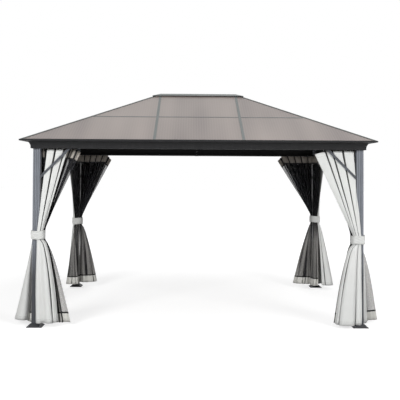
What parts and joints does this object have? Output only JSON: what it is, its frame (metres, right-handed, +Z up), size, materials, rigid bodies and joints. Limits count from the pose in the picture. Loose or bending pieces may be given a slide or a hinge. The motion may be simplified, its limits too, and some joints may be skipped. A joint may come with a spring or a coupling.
{
  "type": "garden gazebo",
  "caption": "Open garden gazebo with a hipped roof of tinted sheets on fluted metal posts, knee braces, and curtains and insect nets tied back at the posts.",
  "frame": {"origin": "on the ground under the middle of the roof", "axes": "+X along the long side to the right, +Y from the front to the back, +Z up"},
  "size_m": [4.186, 3, 2.7978],
  "materials": {
    "post_paint": "satin powder coat",
    "frame_paint": "satin powder coat",
    "eave_paint": "satin powder coat",
    "roof_bar_paint": "satin powder coat",
    "cap_paint": "satin powder coat",
    "brace_paint": "satin powder coat",
    "roof_sheet": "bronze tinted twin-wall sheet",
    "curtain_cloth": "woven polyester",
    "net_cloth": "fine mesh",
    "tie_cloth": "woven polyester"
  },
  "bodies": {
    "root": {"front_left_post": "post_paint", "front_left_foot": "post_paint", "front_left_hip_bar": "roof_bar_paint", "front_left_braces": "brace_paint", "front_left_curtains": "curtain_cloth", "front_left_nets": "net_cloth", "front_left_tie": "tie_cloth", "front_right_post": "post_paint", "front_right_foot": "post_paint", "front_right_hip_bar": "roof_bar_paint", "front_right_braces": "brace_paint", "front_right_curtains": "curtain_cloth", "front_right_nets": "net_cloth", "front_right_tie": "tie_cloth", "back_left_post": "post_paint", "back_left_foot": "post_paint", "back_left_hip_bar": "roof_bar_paint", "back_left_braces": "brace_paint", "back_left_curtains": "curtain_cloth", "back_left_nets": "net_cloth", "back_left_tie": "tie_cloth", "back_right_post": "post_paint", "back_right_foot": "post_paint", "back_right_hip_bar": "roof_bar_paint", "back_right_braces": "brace_paint", "back_right_curtains": "curtain_cloth", "back_right_nets": "net_cloth", "back_right_tie": "tie_cloth", "front_beam": "frame_paint", "front_eave": "eave_paint", "front_purlins": "roof_bar_paint", "front_roof_sheets": "roof_sheet", "back_beam": "frame_paint", "back_eave": "eave_paint", "back_purlins": "roof_bar_paint", "back_roof_sheets": "roof_sheet", "left_beam": "frame_paint", "left_eave": "eave_paint", "left_purlins": "roof_bar_paint", "left_roof_sheets": "roof_sheet", "right_beam": "frame_paint", "right_eave": "eave_paint", "right_purlins": "roof_bar_paint", "right_roof_sheets": "roof_sheet", "front_left_bar": "roof_bar_paint", "front_right_bar": "roof_bar_paint", "back_left_bar": "roof_bar_paint", "back_right_bar": "roof_bar_paint", "left_bar": "roof_bar_paint", "right_bar": "roof_bar_paint", "ridge_bar": "roof_bar_paint", "ridge_cap": "cap_paint"}
  },
  "joints": []
}
